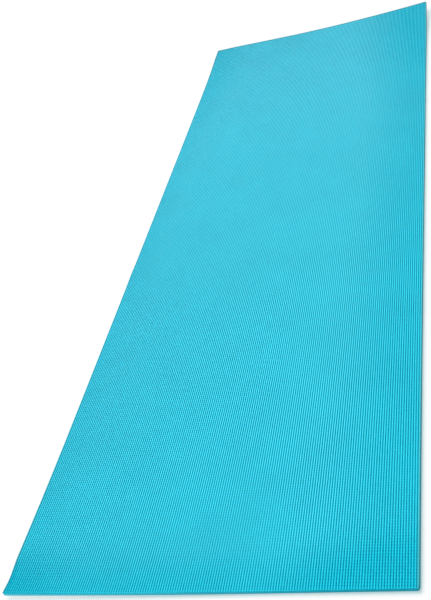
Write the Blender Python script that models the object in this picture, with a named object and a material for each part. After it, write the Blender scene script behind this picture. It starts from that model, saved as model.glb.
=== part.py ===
"""Exercise mat lying flat: two layers of ribbed foam laminated on an open net of yarns.

Metres, +Z up. The mat lies along Y with its width along X, and its underside rests on z = 0. The far
end, at +Y, and the near left corner keep some of the curl that a mat takes on when it is stored rolled.
The mat is cut from its roll in one stroke, so both foam layers and the yarns end in the same four planes.
"""

import math

import bmesh
import bpy

# Whole mat
MAT_LENGTH = 1.829
MAT_WIDTH = 0.610
MAT_THICKNESS = 0.006

# Free space where two layers meet
LAYER_GAP = 0.0003

# Ribs of the upper face, which run along the mat
RIB_PITCH = 0.00373
RIB_HEIGHT = 0.0014

# Net of flat yarns in the middle of the foam
YARN_PITCH = 0.0762
YARN_WIDTH = 0.0014
YARN_THICKNESS = 0.0005

# Curl left by rolling: how high it stands at the edge, and how far in from the edge it starts
FAR_END_LIFT = 0.0022
FAR_LEFT_LIFT = 0.0055
FAR_RIGHT_LIFT = 0.0120
NEAR_LEFT_LIFT = 0.0062
FAR_CURL_REACH = 0.265
NEAR_CURL_REACH = 0.320
CORNER_REACH = 0.385
RIB_BENDS_PER_CURL = 4

# Finish, with colours in linear RGB
FOAM_COLOUR = (0.042, 0.545, 0.700)
YARN_COLOUR = (0.62, 0.72, 0.74)
FOAM_ROUGHNESS = 0.62
YARN_ROUGHNESS = 0.80
SHARP_ANGLE = math.radians(30)

# Places that follow from the sizes above
LEFT, RIGHT = -MAT_WIDTH / 2, MAT_WIDTH / 2
NEAR, FAR = -MAT_LENGTH / 2, MAT_LENGTH / 2
GROOVE_WIDTH = YARN_WIDTH + 2 * LAYER_GAP
GROOVE_DEPTH = YARN_THICKNESS + LAYER_GAP
LOWER_THICKNESS = (MAT_THICKNESS - LAYER_GAP) / 2
YARN_UNDERSIDE = LOWER_THICKNESS - YARN_THICKNESS
UPPER_UNDERSIDE = LOWER_THICKNESS + LAYER_GAP
UPPER_THICKNESS = MAT_THICKNESS - UPPER_UNDERSIDE


# Curl

def rise(distance_in, reach):
    """Share of a lift that is left at a distance in from the edge: 1 at the edge, 0 past the reach."""
    return max(0.0, 1.0 - distance_in / reach) ** 2


def lift(x, y):
    """Height of the curled mat above the same spot of a flat one."""
    far, near = rise(FAR - y, FAR_CURL_REACH), rise(y - NEAR, NEAR_CURL_REACH)
    left, right = rise(x - LEFT, CORNER_REACH), rise(RIGHT - x, CORNER_REACH)
    far_corners = left * FAR_LEFT_LIFT + right * FAR_RIGHT_LIFT
    return far * (FAR_END_LIFT + far_corners) + near * left * NEAR_LEFT_LIFT


def curl(bm):
    """Lifts every point of a flat layer to its place in the curled mat."""
    for v in bm.verts:
        v.co.z += lift(v.co.x, v.co.y)


# Lines on which the sheets are divided

def yarn_places(low, high):
    """Centre lines of the yarns that cross a span, with half an opening left at each end."""
    count = max(1, round((high - low) / YARN_PITCH))
    return [low + (high - low) * (i + 0.5) / count for i in range(count)]


def strip_edges(low, high, width):
    """Both edges of a strip along each yarn, and the ends of the span."""
    return [low, high] + [c + side * width / 2 for c in yarn_places(low, high) for side in (-1, 1)]


def bend_places():
    """Lines across the mat, half way between yarns, where a curled end bends."""
    yarns = yarn_places(NEAR, FAR)
    middles = [(a + b) / 2 for a, b in zip(yarns, yarns[1:])]
    return [y for y in middles if y > FAR - FAR_CURL_REACH or y < NEAR + NEAR_CURL_REACH]


def rib_places():
    """Valleys and crests in turn, from a valley at one long edge of the mat to one at the other."""
    steps = 2 * max(1, round(MAT_WIDTH / RIB_PITCH))
    return [LEFT + MAT_WIDTH * i / steps for i in range(steps)] + [RIGHT]


def rib_bends():
    """Lines across the ribs: evenly spaced in each curled end, and none in the flat part."""
    shares = [i / RIB_BENDS_PER_CURL for i in range(RIB_BENDS_PER_CURL + 1)]
    far_end = [FAR - FAR_CURL_REACH * share for share in shares]
    return far_end + [NEAR + NEAR_CURL_REACH * share for share in shares]


def is_on_net(face):
    """True for a face that lies over a yarn of either direction."""
    centre = face.calc_center_median()
    along = min(abs(centre.x - c) for c in yarn_places(LEFT, RIGHT))
    across = min(abs(centre.y - c) for c in yarn_places(NEAR, FAR))
    return min(along, across) < GROOVE_WIDTH / 2


# Sheets and what is made of them

def add_sheet(bm, xs, ys):
    """Adds a flat grid on the given lines, split along the same diagonals in every layer."""
    xs, ys = sorted(xs), sorted(ys)
    columns, rows = len(xs) - 1, len(ys) - 1
    older = set(bm.faces)
    verts = bmesh.ops.create_grid(bm, x_segments=columns, y_segments=rows, size=1)["verts"]
    for v in verts:
        v.co.x = xs[round((v.co.x + 1) / 2 * columns)]
        v.co.y = ys[round((v.co.y + 1) / 2 * rows)]
    newer = [f for f in bm.faces if f not in older]
    bmesh.ops.triangulate(bm, faces=newer, quad_method="FIXED")
    return verts


def raise_faces(bm, faces, height):
    """Extrudes faces straight up and returns the raised ones."""
    chosen = set(faces)
    edges = [e for e in bm.edges if chosen.intersection(e.link_faces)]
    made = bmesh.ops.extrude_face_region(bm, geom=faces + edges)["geom"]
    bmesh.ops.translate(bm, vec=(0, 0, height), verts=[g for g in made if isinstance(g, bmesh.types.BMVert)])
    return [g for g in made if isinstance(g, bmesh.types.BMFace)]


def join_flat_part(bm, faces):
    """Makes one face of the part of a level sheet that no curl reaches."""
    flat = [f for f in faces if all(lift(v.co.x, v.co.y) == 0 for v in f.verts)]
    bmesh.ops.dissolve_faces(bm, faces=flat)


def corner_points(sheet):
    """The four corners of a sheet, in the same order for every sheet."""
    return [max(sheet, key=lambda v: sx * v.co.x + sy * v.co.y) for sx in (-1, 1) for sy in (-1, 1)]


def close_cut_planes(bm, upper, lower):
    """Closes the mat's four cut planes between two sheets that are divided unlike each other."""
    for top, below in zip(corner_points(upper), corner_points(lower)):
        bm.edges.new((top, below))
    for axis in (0, 1):
        for place in sorted({v.co[axis] for v in corner_points(lower)}):
            ends = [e for e in bm.edges if all(v.co[axis] == place for v in e.verts)]
            bmesh.ops.edgeloop_fill(bm, edges=[e for e in ends if len(e.link_faces) < 2])


# Layers

def bottom_foam_layer():
    """Lower foam, level underneath, with a groove for each yarn where the foam closes round the net."""
    bm = bmesh.new()
    xs = strip_edges(LEFT, RIGHT, GROOVE_WIDTH)
    ys = strip_edges(NEAR, FAR, GROOVE_WIDTH) + bend_places()
    add_sheet(bm, xs, ys)
    groove_floor = raise_faces(bm, list(bm.faces), LOWER_THICKNESS - GROOVE_DEPTH)
    raise_faces(bm, [f for f in groove_floor if not is_on_net(f)], GROOVE_DEPTH)
    join_flat_part(bm, [f for f in bm.faces if all(v.co.z == 0 for v in f.verts)])
    curl(bm)
    return bm


def reinforcement_net():
    """Flat yarns of both directions, bonded where they cross and cut off flush with the foam."""
    bm = bmesh.new()
    xs = strip_edges(LEFT, RIGHT, YARN_WIDTH)
    ys = strip_edges(NEAR, FAR, YARN_WIDTH) + bend_places()
    add_sheet(bm, xs, ys)
    openings = [f for f in bm.faces if not is_on_net(f)]
    bmesh.ops.delete(bm, geom=openings, context="FACES")
    raise_faces(bm, list(bm.faces), YARN_THICKNESS)
    curl(bm)
    return bm


def top_foam_layer():
    """Upper foam: smooth on the net, and ribbed along the mat on its upper face."""
    bm = bmesh.new()
    xs = [LEFT, RIGHT] + yarn_places(LEFT, RIGHT)
    ys = [NEAR, FAR] + yarn_places(NEAR, FAR) + bend_places()
    add_sheet(bm, xs, ys)
    join_flat_part(bm, list(bm.faces))
    lower = list(bm.verts)
    upper = add_sheet(bm, rib_places(), rib_bends())
    rib_step = MAT_WIDTH / (len(rib_places()) - 1)
    for v in upper:
        is_crest = round((v.co.x - LEFT) / rib_step) % 2 == 1
        v.co.z = UPPER_THICKNESS if is_crest else UPPER_THICKNESS - RIB_HEIGHT
    close_cut_planes(bm, upper, lower)
    curl(bm)
    return bm


# The object

def make_material(name, colour, roughness):
    material = bpy.data.materials.new(name)
    material.use_nodes = True
    material.diffuse_color = (*colour, 1.0)
    shader = material.node_tree.nodes["Principled BSDF"]
    shader.inputs["Base Color"].default_value = (*colour, 1.0)
    shader.inputs["Roughness"].default_value = roughness
    shader.inputs["Metallic"].default_value = 0.0
    return material


def make_layer(name, bm, underside, material, parent, collection):
    """Turns a layer's mesh into an object that is placed by the height of its underside."""
    bmesh.ops.recalc_face_normals(bm, faces=bm.faces)
    mesh = bpy.data.meshes.new(name)
    bm.to_mesh(mesh)
    bm.free()
    mesh.shade_smooth()
    mesh.set_sharp_from_angle(angle=SHARP_ANGLE)
    mesh.materials.append(material)
    layer = bpy.data.objects.new(name, mesh)
    layer.location.z = underside
    layer.parent = parent
    collection.objects.link(layer)


def main():
    for old in list(bpy.data.objects):
        bpy.data.objects.remove(old, do_unlink=True)
    collection = bpy.data.collections.new("exercise_mat")
    bpy.context.scene.collection.children.link(collection)
    floor_centre = bpy.data.objects.new("mat_floor_centre", None)
    collection.objects.link(floor_centre)
    foam = make_material("foam", FOAM_COLOUR, FOAM_ROUGHNESS)
    yarn = make_material("yarn", YARN_COLOUR, YARN_ROUGHNESS)
    make_layer("bottom_foam_layer", bottom_foam_layer(), 0, foam, floor_centre, collection)
    make_layer("reinforcement_net", reinforcement_net(), YARN_UNDERSIDE, yarn, floor_centre, collection)
    make_layer("top_foam_layer", top_foam_layer(), UPPER_UNDERSIDE, foam, floor_centre, collection)


main()
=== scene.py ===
"""Looks of the exercise mat: ribbed foam with soft cut edges, on a pale floor in soft light.

Metres, +Z up, in the frame of the solids: the mat lies along Y with its underside on z = 0.
"""

import math

import bmesh
import bpy
import numpy as np
from mathutils import Matrix, Vector


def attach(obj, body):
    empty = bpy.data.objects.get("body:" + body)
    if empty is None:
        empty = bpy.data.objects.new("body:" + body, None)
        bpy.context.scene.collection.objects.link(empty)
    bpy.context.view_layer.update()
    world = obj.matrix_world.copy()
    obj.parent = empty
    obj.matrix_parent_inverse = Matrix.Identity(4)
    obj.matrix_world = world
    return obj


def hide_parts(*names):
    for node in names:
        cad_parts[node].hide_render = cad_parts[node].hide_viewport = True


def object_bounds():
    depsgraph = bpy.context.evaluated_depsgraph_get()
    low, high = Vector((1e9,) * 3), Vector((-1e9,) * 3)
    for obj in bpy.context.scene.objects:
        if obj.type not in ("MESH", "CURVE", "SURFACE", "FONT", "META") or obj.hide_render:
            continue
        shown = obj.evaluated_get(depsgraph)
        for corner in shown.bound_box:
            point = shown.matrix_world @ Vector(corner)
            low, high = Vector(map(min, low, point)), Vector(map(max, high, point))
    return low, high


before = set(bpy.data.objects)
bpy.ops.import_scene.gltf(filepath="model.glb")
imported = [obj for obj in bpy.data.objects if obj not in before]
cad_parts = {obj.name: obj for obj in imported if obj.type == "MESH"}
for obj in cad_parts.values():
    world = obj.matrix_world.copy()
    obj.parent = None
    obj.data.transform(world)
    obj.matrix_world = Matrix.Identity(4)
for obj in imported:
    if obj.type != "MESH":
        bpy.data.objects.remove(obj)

MILLIMETRE = 0.001

# The box of the solids gives the mat's outline
CAD_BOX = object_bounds()
(LEFT, NEAR, _), (RIGHT, FAR, _) = CAD_BOX

# Thickness, and the level at which the two foam layers meet
MAT_THICKNESS = 6.0 * MILLIMETRE
MEETING_LEVEL = MAT_THICKNESS / 2
SEAM = 0.05 * MILLIMETRE
CUT_PROUD = 0.15 * MILLIMETRE

# Ribs that are embossed along both faces, and how many lines of the mesh each has
RIB_COUNT = round((RIGHT - LEFT) / (3.73 * MILLIMETRE))
RIB_PITCH = (RIGHT - LEFT) / RIB_COUNT
RIB_HEIGHT = 1.40 * MILLIMETRE
RIB_ROUNDNESS = 0.8
RIB_LINE_SHARES = (0.0, 0.09, 0.26, 0.50, 0.74, 0.91)
UNDERSIDE_LINE_SHARES = (0.0, 0.16, 0.50, 0.84)

# Fainter rows that are pressed across the ribs
ROW_PITCH = 4.80 * MILLIMETRE
ROW_HEIGHT = 0.32 * MILLIMETRE
ROW_SKEW = 0.02

# Soft edge that the cutting leaves, and the rounding of the corners
LIP_RADIUS = 0.9 * MILLIMETRE
LIP_STEPS = 3
RIB_FADE = 1.6 * MILLIMETRE
CORNER_RADIUS = 5.0 * MILLIMETRE

# How much wider than in the middle the mat is at its ends, as a share that grows with this power of y
WAIST = 0.005
WAIST_POWER = 4

# Curl left by rolling, as in the solids
FAR_END_LIFT = 2.2 * MILLIMETRE
FAR_LEFT_LIFT = 5.5 * MILLIMETRE
FAR_RIGHT_LIFT = 12.0 * MILLIMETRE
NEAR_LEFT_LIFT = 6.2 * MILLIMETRE
FAR_CURL_REACH = 265 * MILLIMETRE
NEAR_CURL_REACH = 320 * MILLIMETRE
CORNER_REACH = 385 * MILLIMETRE

# Two low folds across the mat: place along it, height at the left and at the right edge, half width
FOLDS = (
    (-150 * MILLIMETRE, 0.9 * MILLIMETRE, 0.4 * MILLIMETRE, 30 * MILLIMETRE),
    (-345 * MILLIMETRE, 0.2 * MILLIMETRE, 0.45 * MILLIMETRE, 36 * MILLIMETRE),
)

# Where the left edge dips, and where it is drawn in: place along it, depth, half length and half width
DIPS = (
    (NEAR + 28 * MILLIMETRE, 1.6 * MILLIMETRE, 22 * MILLIMETRE, 120 * MILLIMETRE),
    (FAR, 1.6 * MILLIMETRE, 30 * MILLIMETRE, 40 * MILLIMETRE),
)
DRAWN_IN = (NEAR + 28 * MILLIMETRE, 1.3 * MILLIMETRE, 22 * MILLIMETRE, 8 * MILLIMETRE)

# How finely the meshes are divided: along the mat, round a bend to so many of its half widths each way,
# and across the hidden inner faces. Edges that turn by more than the angle are sharp.
ROW_SPACING = 60 * MILLIMETRE
BEND_ROW_SPACING = 12 * MILLIMETRE
BEND_REACH = 3
INNER_SPANS = 16
SHARP_ANGLE = math.radians(40)

# Colours of the foam, linear: the deepest and the lightest that a face takes, and inside the cut
FACE_DEEP = (0.001, 0.32, 0.46)
FACE_LIGHT = (0.003, 0.82, 1.00)
UNDERSIDE_DEEP = (0.001, 0.28, 0.40)
UNDERSIDE_LIGHT = (0.003, 0.71, 0.88)
CUT_DEEP = (0.003, 0.36, 0.49)
CUT_LIGHT = (0.012, 0.77, 1.00)

# Tone between them: its middle range, how far it goes down in the grooves and up in the pressed rows,
# which is painted shade of their relief, how it is mottled, and how far it goes down from the near left
# of the mat to its far right, which is painted shade of the light's fall
MIDDLE_TONES = (0.47, 0.53)
GROOVE_SHADE = 0.30
ROW_SHADE = 0.06
MOTTLE_TONE = 0.05
SHADE_SLOPE = 0.06

# Painted shade, by which the tone falls off towards the cuts: direction, place of the cut, where the fall
# ends, and its depth
PAINTED_SHADE_FALLS = (
    ("x", LEFT, LEFT + 120 * MILLIMETRE, -0.06),
    ("x", LEFT, LEFT + 4 * MILLIMETRE, -0.25),
    ("x", RIGHT, RIGHT - 220 * MILLIMETRE, -0.12),
    ("y", NEAR, NEAR + 110 * MILLIMETRE, -0.11),
    ("y", FAR, FAR - 600 * MILLIMETRE, -0.06),
    ("y", FAR, FAR - 7 * MILLIMETRE, -0.25),
)

# Slanted measures of a place on the mat: how much x counts in each beside y, and the span of the last
# one over which the tone goes down in painted shade
TOWARDS_FAR_LEFT = -1.5
TOWARDS_NEAR_RIGHT = -0.5
TOWARDS_FAR_RIGHT = 2.0
SHADE_SLOPE_SPAN = (-0.2, 1.4)

# Where the painted shade in the grooves stands out less: where it does least and where fully, in metres,
# and the share that it keeps at the first. At the cuts it goes by the painted shade there.
FAR_LEFT_FADE = (0.3, -0.3, 0.0)
NEAR_RIGHT_FADE = (-0.95, -0.75, 0.6)
LEFT_FADE = (LEFT, -0.1, 0.25)
CUT_FADE = (-0.2, -0.05)
CUT_FADE_SHARE = 0.5

# Colour to which the foam is worn, which on the crests also stands for painted highlight and on the cut's
# ends for painted light, and how much of it a crest takes, times a share at each end that is larger at
# the far end as painted sheen
WEAR_AND_LIGHT = (0.80, 0.90, 1.00)
CREST_WEAR_AND_SHEEN = 0.12
NEAR_WEAR_AND_SHEEN = 0.65
FAR_WEAR_AND_SHEEN = 1.6

# The part of the grooves' wave that is worn and carries painted highlight as a crest, where along the mat
# the wear and painted sheen even out and to what share of a crest's, and how they go from little to full
# with the painted shade at the cuts
CREST_WAVE = (-1.0, 0.2)
EVEN_SPAN = (0.0, 0.5)
EVEN_WEAR_AND_SHEEN = 0.45
WEAR_AND_SHEEN_AT_CUTS = (-0.16, -0.04, 0.1, 1.0)

# Colour of the painted shade along the rounded rims of the edges, and how its share falls off from the
# cuts, as for the tone
RIM_SHADE = (0.13, 0.28, 0.22)
RIM_SHADE_SHARE = 0.4
RIM_SHADE_FALLS = (
    ("x", LEFT, LEFT + 4 * MILLIMETRE, RIM_SHADE_SHARE),
    ("x", RIGHT, RIGHT - 4 * MILLIMETRE, RIM_SHADE_SHARE),
    ("y", FAR, FAR - 7 * MILLIMETRE, RIM_SHADE_SHARE),
)

# Cut faces: how far round the corners the ends' look reaches, their tone from left to right, which is
# painted light that makes the ends lighter than the sides, most at the left, the paler painted light at
# the left and where it stops, the wear of the sides, and the tone that the open cells add
END_REACH = 4 * MILLIMETRE
END_LIGHT_TONES = (0.5, 0.08)
END_PAINTED_LIGHT = 0.09
END_PAINTED_LIGHT_STOP = 0.2
SIDE_WEAR = 0.04
CELL_TONE = 0.3

# Yarn of the net
YARN_DEEP = (0.55, 0.66, 0.69)
YARN_LIGHT = (0.68, 0.76, 0.78)

# How many of each pattern's features lie in about a metre, and the depth of those that are bumps
CLOUD_SCALE = 9.0
SHINE_SCALE = 60.0
MOTTLE_SCALE = 240.0
FIBRE_SCALE = 300.0
GRAIN_SCALE = 1600.0
GRAIN_DEPTH = 0.02 * MILLIMETRE
CELL_SCALE = 2200.0
CELL_DEPTH = 0.08 * MILLIMETRE
TWIST_SCALE = 900.0
TWIST_DEPTH = 0.05 * MILLIMETRE

# Values that a noise and the distance in an open cell mostly stay between
NOISE_RANGE = (0.3, 0.7)
CELL_RANGE = (0.0, 0.8)

# Roughness, over those ranges where there are two values, and specular level
FACE_ROUGHNESS = (0.42, 0.50)
CUT_ROUGHNESS = (0.9, 0.7)
YARN_ROUGHNESS = 0.8
FACE_SPECULAR = 0.05
CUT_SPECULAR = 0.2

# Colour of the floor, and as it is seen: its colour and the light that it adds, which together are white
FLOOR = (0.85, 0.85, 0.85)
FLOOR_SEEN = (0.60, 0.44, 0.42)
FLOOR_GLOW = (0.33, 0.51, 0.53)
FLOOR_SIZE = 40
BLACK = (0.0, 0.0, 0.0)
WHITE = (1.0, 1.0, 1.0)

# Where the shadow on the floor is seen lighter, as for the tone
SHADOW_FALLS = (
    ("x", LEFT, 0.0, 0.55),
    ("y", FAR, FAR - 0.12, 0.45),
)

# Camera at the photograph's viewing angle
CAMERA_PLACE = Vector((0.4869, -1.5896, 1.0328))
CAMERA_AIM = Vector((-0.0946, -0.2637, 0.0))
CAMERA_ROLL = math.radians(-21.628)
CAMERA_LENS = 54.92
CAMERA_SENSOR = 36.0

# Studio light: even light from all sides, and a wide lamp behind the mat
WORLD_STRENGTH = 0.26
SUN_PLACE = Vector((-0.85, 0.95, 1.2))
SUN_WIDTH = math.radians(50)
SUN_STRENGTH = 3.85

# Two weak soft lamps: place, the point at which each is aimed, size and power
SOFT_LAMPS = {
    "front_light": (Vector((-0.5, -2.0, 0.4)), Vector((-0.2, -0.92, 0.0)), 0.7, 3.9),
    "left_light": (Vector((-0.9, 0.35, 0.9)), Vector((-0.2, 0.3, 0.0)), 0.6, 1.8),
}


# Shape of the mat

def rise(distance_in, reach):
    """Share of a lift that is left at a distance in from the edge: 1 at the edge, 0 past the reach."""
    return np.maximum(0.0, 1.0 - distance_in / reach) ** 2


def hollow(x, y, middle, depth, half_length, half_width):
    """Depth of a soft hollow that has its middle on the left edge."""
    return depth * np.exp(-(((y - middle) / half_length) ** 2) - ((x - LEFT) / half_width) ** 2)


def lift(x, y):
    """Height of the curled mat above the same spot of a flat one."""
    far, near = rise(FAR - y, FAR_CURL_REACH), rise(y - NEAR, NEAR_CURL_REACH)
    left, right = rise(x - LEFT, CORNER_REACH), rise(RIGHT - x, CORNER_REACH)
    far_corners = left * FAR_LEFT_LIFT + right * FAR_RIGHT_LIFT
    curl = far * (FAR_END_LIFT + far_corners) + near * left * NEAR_LEFT_LIFT
    rightness = (x - LEFT) / (RIGHT - LEFT)
    for place, left_height, right_height, half_width in FOLDS:
        height = left_height + (right_height - left_height) * rightness
        curl = curl + height * np.exp(-(((y - place) / half_width) ** 2))
    return curl - sum(hollow(x, y, *dip) for dip in DIPS)


def lip_drop(distance_in):
    """How far a rounded edge falls off at a distance in from the cut."""
    short = np.clip(LIP_RADIUS - distance_in, 0.0, LIP_RADIUS)
    return LIP_RADIUS - np.sqrt(LIP_RADIUS**2 - short**2)


def embossed_depth(x, y):
    """Depth of an embossed face below its crests, with the ribs fading out towards the ends."""
    from_sides = np.minimum(x - LEFT, RIGHT - x) + CUT_PROUD
    from_ends = np.minimum(y - NEAR, FAR - y) + CUT_PROUD
    fade = np.clip((from_ends - LIP_RADIUS / 2) / RIB_FADE, 0.0, 1.0)
    groove = 1 - np.abs(np.sin(math.pi * (x - LEFT) / RIB_PITCH)) ** RIB_ROUNDNESS
    return RIB_HEIGHT * groove * fade + np.maximum(lip_drop(from_sides), lip_drop(from_ends))


def cut_outline(x, y):
    """Moves the points of a grid to the mat's real outline.

    The corners are rounded, the ends are a little wider than the middle, and the left edge is drawn in
    beside its near corner.
    """
    a = np.clip(1 - (np.minimum(x - LEFT, RIGHT - x) + CUT_PROUD) / CORNER_RADIUS, 0.0, 1.0)
    b = np.clip(1 - (np.minimum(y - NEAR, FAR - y) + CUT_PROUD) / CORNER_RADIUS, 0.0, 1.0)
    inwards_x = CORNER_RADIUS * a * (1 - np.sqrt(1 - b**2 / 2))
    inwards_y = CORNER_RADIUS * b * (1 - np.sqrt(1 - a**2 / 2))
    widened = (x - np.sign(x) * inwards_x) * (1 + WAIST * (y / FAR) ** WAIST_POWER)
    return widened + hollow(x, y, *DRAWN_IN), y - np.sign(y) * inwards_y


# Meshes of the foam layers

def lines_with_lips(low, high, inner):
    """Places of the lines of a grid: the inner ones, and closer ones round each lip."""
    low, high = low - CUT_PROUD, high + CUT_PROUD
    turns = [math.pi / 2 * i / LIP_STEPS for i in range(LIP_STEPS + 1)]
    insets = [LIP_RADIUS * (1 - math.cos(turn)) for turn in turns]
    kept = sorted(place for place in inner if low + LIP_RADIUS < place < high - LIP_RADIUS)
    return np.array([low + inset for inset in insets] + kept + [high - inset for inset in insets[::-1]])


def lengthwise_lines(shares):
    """Lines along the ribs, at the given shares of each rib's width."""
    ribs = [LEFT + RIB_PITCH * (i + share) for i in range(RIB_COUNT) for share in shares]
    return lines_with_lips(LEFT, RIGHT, ribs)


def crosswise_lines():
    """Lines across the ribs: evenly spaced, closer over folds and dips, and closest at the corners."""
    bends = [(place, half_width) for place, _left, _right, half_width in FOLDS]
    bends += [(middle, half_length) for middle, _depth, half_length, _half_width in DIPS]
    even = np.arange(NEAR + ROW_SPACING, FAR - ROW_SPACING / 2, ROW_SPACING)
    lines = [y for y in even if all(abs(y - place) > BEND_REACH * half for place, half in bends)]
    for place, half in bends:
        reach = BEND_REACH * half
        lines += list(np.arange(place - reach, place + reach, BEND_ROW_SPACING))
    for inset in (LIP_RADIUS + RIB_FADE / 2, LIP_RADIUS + RIB_FADE, CORNER_RADIUS):
        lines += [NEAR + inset, FAR - inset]
    return lines_with_lips(NEAR, FAR, lines)


def foam_layer(name, xs, ys, inner_level, face_level, facing_up):
    """A closed foam layer: an embossed face, the cut round it, and a plain face inside the mat.

    The face and the cut have all the lines of the grid. The inner face keeps a few of the lengthwise
    lines, so along both ends its triangles fan out to the many points of the cut.
    """
    columns, rows = len(xs), len(ys)
    sign = 1 if facing_up else -1
    x, y = np.meshgrid(xs, ys)
    face_z = face_level - sign * embossed_depth(x, y) + lift(x, y)
    inner_z = inner_level + lift(x, y)
    x, y = cut_outline(x, y)
    points = [tuple(p) for p in np.stack([x, y, face_z], -1).reshape(-1, 3)]
    kept = sorted({round(i * (columns - 1) / INNER_SPANS) for i in range(INNER_SPANS + 1)})
    inner = []
    for row in range(rows):
        taken = range(columns) if row in (0, rows - 1) else kept
        inner.append({column: len(points) + i for i, column in enumerate(taken)})
        points += [(x[row, column], y[row, column], inner_z[row, column]) for column in taken]

    embossed = [(r * columns + c, r * columns + c + 1, (r + 1) * columns + c + 1, (r + 1) * columns + c)
                for r in range(rows - 1) for c in range(columns - 1)]
    cut = [(r * columns + c, (r + 1) * columns + c, inner[r + 1][c], inner[r][c])
           for r in range(rows - 1) for c in (0, columns - 1)]
    cut += [(r * columns + c, r * columns + c + 1, inner[r][c + 1], inner[r][c])
            for r in (0, rows - 1) for c in range(columns - 1)]
    for near, far in zip(inner, inner[1:]):
        many, few = (near, far) if len(near) > len(kept) else (far, near)
        for a, b in zip(kept, kept[1:]):
            side = [many[c] for c in range(a, b + 1) if c in many]
            cut += [(one, other, few[a]) for one, other in zip(side, side[1:])]
            cut.append((side[-1], few[b], few[a]))

    mesh = bpy.data.meshes.new(name)
    mesh.from_pydata(points, [], embossed + cut)
    mesh.polygons.foreach_set("material_index", [0] * len(embossed) + [1] * len(cut))
    bm = bmesh.new()
    bm.from_mesh(mesh)
    bmesh.ops.recalc_face_normals(bm, faces=bm.faces)
    bm.to_mesh(mesh)
    bm.free()
    mesh.shade_smooth()
    mesh.set_sharp_from_angle(angle=SHARP_ANGLE)
    piece = bpy.data.objects.new(name, mesh)
    bpy.context.scene.collection.objects.link(piece)
    return piece


# Materials

class Nodes:
    """Short ways to add and link the nodes of one material."""

    def __init__(self, name):
        self.material = bpy.data.materials.new(name)
        self.material.use_nodes = True
        self.tree = self.material.node_tree
        self.shader = self.tree.nodes["Principled BSDF"]
        self.position = self.add("ShaderNodeTexCoord").outputs["Object"]

    def add(self, kind, inputs=None, **settings):
        node = self.tree.nodes.new(kind)
        for key, value in settings.items():
            setattr(node, key, value)
        for key, value in (inputs or {}).items():
            self.feed(node.inputs[key], value)
        return node

    def feed(self, socket, value):
        if isinstance(value, bpy.types.NodeSocket):
            self.tree.links.new(value, socket)
        elif socket.type == "RGBA":
            socket.default_value = (*value, 1.0)
        else:
            socket.default_value = value

    def math(self, operation, *values):
        node = self.add("ShaderNodeMath", operation=operation)
        for socket, value in zip(node.inputs, values):
            self.feed(socket, value)
        return node.outputs[0]

    def wave(self, along, pitch):
        """A cosine, 1 where the distance along is a whole number of pitches."""
        return self.math("COSINE", self.math("MULTIPLY", along, 2 * math.pi / pitch))

    def noise(self, scale):
        return self.add("ShaderNodeTexNoise", {"Vector": self.position, "Scale": scale}).outputs["Fac"]

    def ramp(self, value, low, high, to_low, to_high, shape="LINEAR"):
        inputs = {"Value": value, "From Min": low, "From Max": high, "To Min": to_low, "To Max": to_high}
        return self.add("ShaderNodeMapRange", inputs, interpolation_type=shape).outputs["Result"]

    def blend(self, share, one, other):
        ramp = self.add("ShaderNodeValToRGB", {"Fac": share})
        ramp.color_ramp.elements[0].color = (*one, 1.0)
        ramp.color_ramp.elements[1].color = (*other, 1.0)
        return ramp.outputs["Color"]

    def mix(self, share, one, other):
        return self.add("ShaderNodeMix", {0: share, 6: one, 7: other}, data_type="RGBA").outputs[2]

    def sum_of_falls(self, places, falls):
        """Adds up falls: a direction, where the fall is deepest, where it ends, and its depth."""
        total = 0.0
        for direction, deepest, end, depth in falls:
            fall = self.ramp(places[direction], deepest, end, depth, 0.0, "SMOOTHSTEP")
            total = self.math("ADD", total, fall)
        return total

    def bump(self, height, distance, under=None):
        """A normal that is bumped by a height of 0 to 1 times the distance, on top of the one under it."""
        node = self.add("ShaderNodeBump", {"Height": height, "Distance": distance, "Strength": 1.0})
        if under is not None:
            self.feed(node.inputs["Normal"], under)
        return node.outputs["Normal"]


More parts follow.
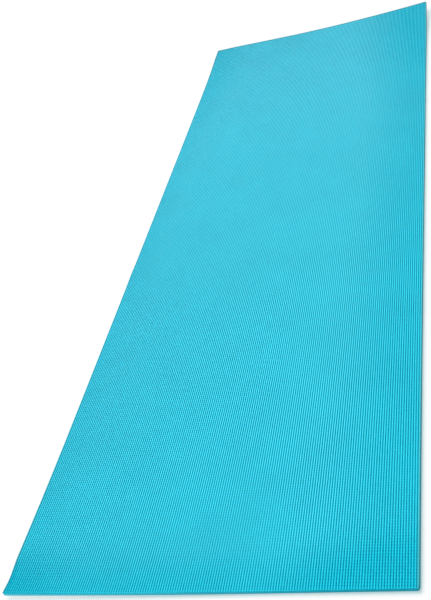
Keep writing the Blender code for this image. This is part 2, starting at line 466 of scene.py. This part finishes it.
def foam_face_material(name, deep, light):
    """Embossed foam: rows pressed across the ribs, a fine grain, and crests that are worn a little pale,
    which is also painted highlight.

    The grooves are darker and the pressed rows lighter in painted shade of the relief. Towards the cut its
    tone is deeper in painted shade, the rims darker still, and it is less worn and has less painted sheen.
    Towards the far end the wear and painted sheen even out over crests and grooves and grow. The painted
    shade of the grooves stands out less at the far left, the near right, along the left edge and at the
    cuts, and the tone goes down towards the far right in painted shade.
    """
    n = Nodes(name)
    x, y, _z = n.add("ShaderNodeSeparateXYZ", {"Vector": n.position}).outputs
    far_off = n.math("POWER", n.math("ABSOLUTE", y), WAIST_POWER)
    widening = n.math("MULTIPLY_ADD", far_off, WAIST / FAR**WAIST_POWER, 1.0)
    grooves = n.wave(n.math("SUBTRACT", n.math("DIVIDE", x, widening), LEFT), RIB_PITCH)
    rows = n.wave(n.math("ADD", y, n.math("MULTIPLY", x, ROW_SKEW)), ROW_PITCH)
    # A wave goes from -1 to 1, so half of it is one height of a row
    pressed = n.bump(n.math("MULTIPLY", rows, 0.5), ROW_HEIGHT)
    n.feed(n.shader.inputs["Normal"], n.bump(n.noise(GRAIN_SCALE), GRAIN_DEPTH, pressed))

    places = {"x": x, "y": y}
    # Painted shade towards the cuts, and darker painted shade on the rims
    cut_shade = n.sum_of_falls(places, PAINTED_SHADE_FALLS)
    rim_shade = n.sum_of_falls(places, RIM_SHADE_FALLS)

    towards_far_left = n.math("MULTIPLY_ADD", x, TOWARDS_FAR_LEFT, y)
    towards_near_right = n.math("MULTIPLY_ADD", x, TOWARDS_NEAR_RIGHT, y)
    towards_far_right = n.math("MULTIPLY_ADD", x, TOWARDS_FAR_RIGHT, y)
    # Painted shade in the grooves, which stands out less at the cuts and at the places below
    groove_shade = n.ramp(cut_shade, *CUT_FADE, -CUT_FADE_SHARE * GROOVE_SHADE, -GROOVE_SHADE)
    for place, fade in (
        (towards_far_left, FAR_LEFT_FADE),
        (towards_near_right, NEAR_RIGHT_FADE),
        (x, LEFT_FADE),
    ):
        groove_shade = n.math("MULTIPLY", groove_shade, n.ramp(place, *fade, 1.0))

    # Painted shade that deepens towards the far right, on top of that at the cuts
    tone = n.math("ADD", cut_shade, n.ramp(towards_far_right, *SHADE_SLOPE_SPAN, 0.0, -SHADE_SLOPE))
    tone = n.math("ADD", tone, n.ramp(n.noise(CLOUD_SCALE), *NOISE_RANGE, *MIDDLE_TONES))
    tone = n.math("ADD", tone, n.ramp(n.noise(MOTTLE_SCALE), *NOISE_RANGE, -MOTTLE_TONE, MOTTLE_TONE))
    # Painted shade in the grooves
    tone = n.math("MULTIPLY_ADD", grooves, groove_shade, tone)
    # Painted shade of the pressed rows' relief
    tone = n.math("MULTIPLY_ADD", rows, ROW_SHADE, tone)

    # Pale crests: wear, and painted highlight, which grows as painted sheen towards the far end
    crests = n.ramp(grooves, *CREST_WAVE, 1.0, 0.0)
    crests = n.math("MULTIPLY", crests, n.ramp(y, *EVEN_SPAN, 1.0, 0.0))
    wear_and_light = n.math("ADD", crests, n.ramp(y, *EVEN_SPAN, 0.0, EVEN_WEAR_AND_SHEEN))
    wear_and_light = n.math("MULTIPLY", wear_and_light, n.ramp(y, NEAR, FAR, NEAR_WEAR_AND_SHEEN * CREST_WEAR_AND_SHEEN, FAR_WEAR_AND_SHEEN * CREST_WEAR_AND_SHEEN))
    wear_and_light = n.math("MULTIPLY", wear_and_light, n.ramp(cut_shade, *WEAR_AND_SHEEN_AT_CUTS))
    # Painted shade on the rims, laid over the rest
    colour = n.mix(rim_shade, n.mix(wear_and_light, n.blend(tone, deep, light), WEAR_AND_LIGHT), RIM_SHADE)
    n.feed(n.shader.inputs["Base Color"], colour)
    n.feed(n.shader.inputs["Roughness"], n.ramp(n.noise(SHINE_SCALE), *NOISE_RANGE, *FACE_ROUGHNESS))
    n.shader.inputs["Specular IOR Level"].default_value = FACE_SPECULAR
    return n.material


def foam_cut_material():
    """Cut foam: open cells without shine, with painted light that makes the mat's two ends lighter than
    the sides, lightest and palest at their left.
    """
    n = Nodes("foam_cut")
    x, y, _z = n.add("ShaderNodeSeparateXYZ", {"Vector": n.position}).outputs
    from_ends = n.math("SUBTRACT", FAR, n.math("ABSOLUTE", y))
    cells = n.add("ShaderNodeTexVoronoi", {"Vector": n.position, "Scale": CELL_SCALE}).outputs["Distance"]
    n.feed(n.shader.inputs["Normal"], n.bump(cells, CELL_DEPTH))
    # Painted light: the ends are lighter than the sides, most at the left, and paler there
    end_light_tone = n.ramp(x, LEFT, RIGHT, *END_LIGHT_TONES)
    end_light = n.ramp(x, LEFT, END_PAINTED_LIGHT_STOP, END_PAINTED_LIGHT, 0.0)
    tone = n.math("MULTIPLY_ADD", cells, CELL_TONE, n.ramp(from_ends, 0.0, END_REACH, end_light_tone, 0.0))
    wear_and_light = n.ramp(from_ends, 0.0, END_REACH, end_light, SIDE_WEAR)
    n.feed(n.shader.inputs["Base Color"], n.mix(wear_and_light, n.blend(tone, CUT_DEEP, CUT_LIGHT), WEAR_AND_LIGHT))
    n.feed(n.shader.inputs["Roughness"], n.ramp(cells, *CELL_RANGE, *CUT_ROUGHNESS))
    n.shader.inputs["Specular IOR Level"].default_value = CUT_SPECULAR
    return n.material


def yarn_material():
    """Twisted polyester yarn."""
    n = Nodes("net_yarn")
    twist = n.add("ShaderNodeTexWave", {"Vector": n.position, "Scale": TWIST_SCALE, "Distortion": 1.0})
    n.feed(n.shader.inputs["Normal"], n.bump(twist.outputs["Fac"], TWIST_DEPTH))
    n.feed(n.shader.inputs["Base Color"], n.blend(n.noise(FIBRE_SCALE), YARN_DEEP, YARN_LIGHT))
    n.shader.inputs["Roughness"].default_value = YARN_ROUGHNESS
    return n.material


# Stage, light and camera

def seen_directly(tree):
    """Output that is 1 for what the camera sees, also in a mirror or through glass, and 0 otherwise."""
    rays = tree.nodes.new("ShaderNodeLightPath").outputs
    seen = rays["Is Camera Ray"]
    for name in ("Is Glossy Ray", "Is Transmission Ray"):
        either = tree.nodes.new("ShaderNodeMath")
        either.operation = "MAXIMUM"
        tree.links.new(seen, either.inputs[0])
        tree.links.new(rays[name], either.inputs[1])
        seen = either.outputs[0]
    return seen


def floor_material():
    """White floor that keeps the mat's shadow, seen at about half its depth and a little blue.

    The shadow is seen lighter still along the left half of the mat, and at its far end.
    """
    n = Nodes("studio_floor")
    seen = seen_directly(n.tree)
    x, y, _z = n.add("ShaderNodeSeparateXYZ", {"Vector": n.position}).outputs
    depth = n.math("SUBTRACT", 1.0, n.sum_of_falls({"x": x, "y": y}, SHADOW_FALLS))
    n.feed(n.shader.inputs["Base Color"], n.mix(seen, FLOOR, n.mix(depth, BLACK, FLOOR_SEEN)))
    n.feed(n.shader.inputs["Emission Color"], n.mix(seen, BLACK, n.mix(depth, WHITE, FLOOR_GLOW)))
    n.shader.inputs["Emission Strength"].default_value = 1.0
    n.shader.inputs["Roughness"].default_value = 1.0
    n.shader.inputs["Specular IOR Level"].default_value = 0.0
    return n.material


def make_floor():
    bpy.ops.mesh.primitive_plane_add(size=FLOOR_SIZE)
    floor = bpy.context.object
    floor.name = "studio_floor"
    floor.data.materials.append(floor_material())


def make_world():
    """Even white light from all sides, which is seen as white."""
    world = bpy.data.worlds.new("studio")
    bpy.context.scene.world = world
    world.use_nodes = True
    tree = world.node_tree
    background = tree.nodes["Background"]
    background.inputs["Color"].default_value = (*WHITE, 1.0)
    strength = tree.nodes.new("ShaderNodeMath")
    strength.operation = "MULTIPLY_ADD"
    strength.inputs[1].default_value = 1.0 - WORLD_STRENGTH
    strength.inputs[2].default_value = WORLD_STRENGTH
    tree.links.new(seen_directly(tree), strength.inputs[0])
    tree.links.new(strength.outputs[0], background.inputs["Strength"])


def add_lamp(light, place, aim):
    """Puts a lamp at a place and turns it to the point at which it is aimed."""
    lamp = bpy.data.objects.new(light.name, light)
    lamp.location = place
    lamp.rotation_euler = (aim - place).to_track_quat("-Z", "Y").to_euler()
    lamp.visible_camera = False
    bpy.context.scene.collection.objects.link(lamp)


def make_lamps():
    sun = bpy.data.lights.new("back_light", "SUN")
    sun.angle = SUN_WIDTH
    sun.energy = SUN_STRENGTH
    add_lamp(sun, SUN_PLACE, Vector())
    for name, (place, aim, size, power) in SOFT_LAMPS.items():
        soft = bpy.data.lights.new(name, "AREA")
        soft.size = size
        soft.energy = power
        add_lamp(soft, place, aim)


def make_camera():
    data = bpy.data.cameras.new("photo_camera")
    data.lens = CAMERA_LENS
    data.sensor_width = CAMERA_SENSOR
    camera = bpy.data.objects.new("photo_camera", data)
    level = (CAMERA_AIM - CAMERA_PLACE).to_track_quat("-Z", "Y").to_matrix()
    turned = level @ Matrix.Rotation(CAMERA_ROLL, 3, "Z")
    camera.matrix_world = Matrix.Translation(CAMERA_PLACE) @ turned.to_4x4()
    bpy.context.scene.collection.objects.link(camera)
    bpy.context.scene.camera = camera


# The mat

def dress(piece, node, face, cut):
    """Gives a foam layer its two finishes, and puts it in the place of its solid."""
    piece.data.materials.append(face)
    piece.data.materials.append(cut)
    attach(piece, "root")
    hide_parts(node)


def main():
    make_camera()
    make_world()
    make_floor()
    make_lamps()
    bpy.context.scene.view_settings.view_transform = "Standard"

    cut = foam_cut_material()
    rows = crosswise_lines()
    columns = lengthwise_lines(RIB_LINE_SHARES)
    top = foam_layer("foam_top", columns, rows, MEETING_LEVEL + SEAM, MAT_THICKNESS, True)
    face = foam_face_material("foam_face", FACE_DEEP, FACE_LIGHT)
    dress(top, "top_foam_layer", face, cut)
    columns = lengthwise_lines(UNDERSIDE_LINE_SHARES)
    low = foam_layer("foam_bottom", columns, rows, MEETING_LEVEL - SEAM, 0.0, False)
    face = foam_face_material("foam_underside", UNDERSIDE_DEEP, UNDERSIDE_LIGHT)
    dress(low, "bottom_foam_layer", face, cut)
    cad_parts["reinforcement_net"].material_slots[0].material = yarn_material()


main()
